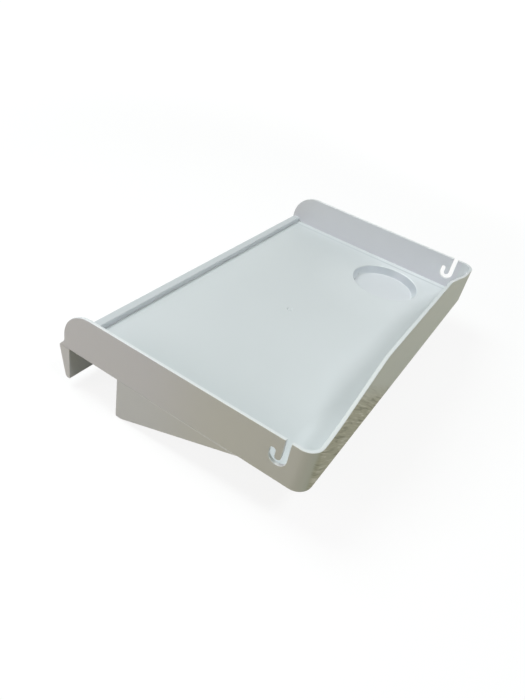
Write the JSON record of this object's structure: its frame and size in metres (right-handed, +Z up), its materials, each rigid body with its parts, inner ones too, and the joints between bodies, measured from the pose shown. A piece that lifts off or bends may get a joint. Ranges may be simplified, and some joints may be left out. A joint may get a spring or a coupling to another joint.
{
  "type": "rail-hung tray with cup holder",
  "caption": "Moulded plastic tray that hooks over a bed or cot rail, with a raised front guard, a round cup recess, J-shaped cord slots and tapered gussets below.",
  "frame": {"origin": "centre of the rail channel across the tray and between its two upright faces, at the level of the rail seat's underside, which rests on top of the rail", "axes": "+X across the tray towards the side with the cup recess, +Y from the tray towards the hook lip and so away from the user's side of the rail, +Z up; -Z leaves the rail seat's underside"},
  "size_m": [0.4, 0.2513, 0.114],
  "materials": {
    "tray_plastic": "semi-gloss moulded, light grey",
    "bracket_plastic": "semi-gloss moulded, light grey"
  },
  "bodies": {
    "root": {"tray_floor": "tray_plastic", "cup_well": "tray_plastic", "front_guard": "tray_plastic", "left_wall": "tray_plastic", "right_wall": "tray_plastic", "rear_ridge": "tray_plastic", "rail_seat": "bracket_plastic", "hook_lip": "bracket_plastic", "bearing_plate": "bracket_plastic", "left_gusset": "bracket_plastic", "right_gusset": "bracket_plastic", "left_rib": "bracket_plastic", "right_rib": "bracket_plastic"}
  },
  "joints": []
}
